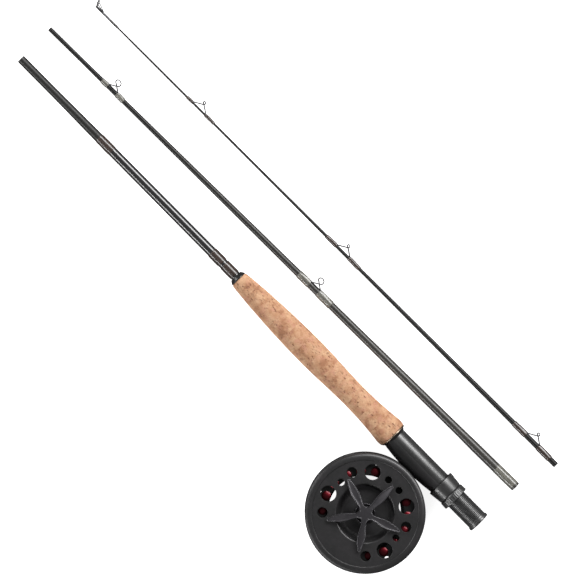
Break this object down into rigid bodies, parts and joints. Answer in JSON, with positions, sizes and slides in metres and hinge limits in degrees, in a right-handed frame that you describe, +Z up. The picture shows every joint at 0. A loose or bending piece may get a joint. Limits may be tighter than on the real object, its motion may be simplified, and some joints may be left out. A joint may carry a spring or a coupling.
{
  "type": "fly fishing rod and reel",
  "caption": "Fly rod taken down into butt, middle and tip sections, with a cork grip, screw-locking reel seat and a large-arbor fly reel.",
  "frame": {"origin": "on the floor, under the middle of the whole laid-out object's box", "axes": "+X along the rod from the butt end towards the tips, +Z up, +Y towards the reel"},
  "size_m": [0.5328, 0.1929, 0.0514],
  "materials": {
    "blank_gloss": "gloss",
    "blank_satin": "satin",
    "thread_brown": "gloss",
    "thread_grey": "gloss",
    "trim_black": "gloss",
    "trim_bronze": "satin",
    "cork": "matte",
    "seat_graphite": "satin",
    "reel_grey": "satin, anodised dark grey",
    "knob_grey": "satin, anodised dark grey",
    "anodised_red": "gloss, anodised",
    "drag_cork": "matte",
    "gear_brass": "satin",
    "seal_rubber": "matte",
    "handle_black": "satin",
    "guide_wire": "polished",
    "steel": "satin"
  },
  "bodies": {
    "butt_section": {"butt_blank": "blank_gloss", "ferrule_wrap": "thread_brown", "trim_wraps": "thread_brown", "winding_check": "trim_black", "cork_rings_odd": "cork", "cork_rings_even": "cork", "seat_trim_ring": "trim_bronze", "fixed_hood": "seat_graphite", "seat_barrel": "seat_graphite", "seat_bushes": "cork", "butt_cap": "seat_graphite", "reel_foot": "reel_grey", "foot_screws": "steel", "reel_frame": "reel_grey", "spindle": "steel", "spindle_nut": "steel", "spindle_clip": "steel", "push_pins": "steel", "spring_washers": "steel", "pressure_plate": "steel", "drag_disc_outer": "drag_cork", "drag_disc_inner": "drag_cork", "click_post": "steel", "click_spring": "steel"},
    "hood": {"sliding_hood": "seat_graphite"},
    "nut": {"lock_nut": "seat_graphite"},
    "drag_adjuster": {"drag_knob": "knob_grey"},
    "drag_rotor": {"drag_hub": "steel"},
    "pawl": {"click_pawl": "steel"},
    "spool": {"spool_face": "reel_grey", "spool_back_ring": "reel_grey", "arbor_posts": "anodised_red", "one_way_clutch": "steel", "click_gear": "gear_brass", "spool_bearing": "steel", "handle_post": "steel", "handle_screw": "steel", "counterweight": "steel"},
    "cap_carrier": {"cap_seal": "seal_rubber"},
    "cap": {"spool_cap": "reel_grey"},
    "handle": {"handle_knob": "handle_black"},
    "mid_section": {"mid_blank": "blank_satin", "mid_snake_guides": "guide_wire", "mid_guide_wraps": "thread_grey", "mid_socket_wrap": "thread_grey"},
    "tip_section": {"tip_blank": "blank_satin", "tip_snake_guides": "guide_wire", "tip_guide_wraps": "thread_brown", "tip_top_tube": "guide_wire", "tip_top_ring": "guide_wire", "tip_top_wrap": "thread_brown"}
  },
  "joints": [
    {"name": "hood_slide", "type": "slide", "parent": "butt_section", "child": "hood", "axis": [-0.9999, 0, 0.0115], "range_m": [0, 0.014]},
    {"name": "lock_nut_turn", "type": "hinge", "parent": "hood", "child": "nut", "pos_m": [-0.2264, -0.01166, 0.01345], "axis": [-0.9999, 0, 0.0115], "range_deg": [0, 4190]},
    {"name": "drag_knob_turn", "type": "hinge", "parent": "butt_section", "child": "drag_adjuster", "pos_m": [-0.18576, 0.04652, 0.02494], "axis": [0.0113, -0.2013, 0.9795], "range_deg": [-160, 160]},
    {"name": "drag_rotor_slip", "type": "hinge", "parent": "butt_section", "child": "drag_rotor", "pos_m": [-0.18576, 0.04652, 0.02494], "axis": [0.0113, -0.2013, 0.9795], "continuous": true},
    {"name": "click_pawl_swing", "type": "hinge", "parent": "butt_section", "child": "pawl", "pos_m": [-0.16813, 0.04957, 0.02536], "axis": [0.0113, -0.2013, 0.9795], "range_deg": [-14, 14], "stiffness_Nm_per_rad": 0.0005},
    {"name": "spool_spin", "type": "hinge", "parent": "butt_section", "child": "spool", "pos_m": [-0.18576, 0.04652, 0.02494], "axis": [0.0113, -0.2013, 0.9795], "continuous": true},
    {"name": "handle_knob_spin", "type": "hinge", "parent": "spool", "child": "handle", "pos_m": [-0.18585, 0.08582, 0.0175], "axis": [0.0113, -0.2013, 0.9795], "continuous": true},
    {"name": "cap_rise", "type": "slide", "parent": "spool", "child": "cap_carrier", "axis": [-0.0113, 0.2013, -0.9795], "range_m": [0, 0.0024]},
    {"name": "spool_cap_turn", "type": "hinge", "parent": "cap_carrier", "child": "cap", "pos_m": [-0.18576, 0.04652, 0.02494], "axis": [-0.0113, 0.2013, -0.9795], "range_deg": [0, 1075]},
    {"name": "mid_section_lift", "type": "slide", "parent": "butt_section", "child": "mid_section", "axis": [0, 0, 1], "range_m": [0, 0.15]},
    {"name": "tip_section_lift", "type": "slide", "parent": "butt_section", "child": "tip_section", "axis": [0, 0, 1], "range_m": [0, 0.15]}
  ],
  "couplings": [
    {"joint": "hood_slide", "follows": "lock_nut_turn", "m_per_rad": 0.00019099},
    {"joint": "cap_rise", "follows": "spool_cap_turn", "m_per_rad": 0.00012732}
  ]
}
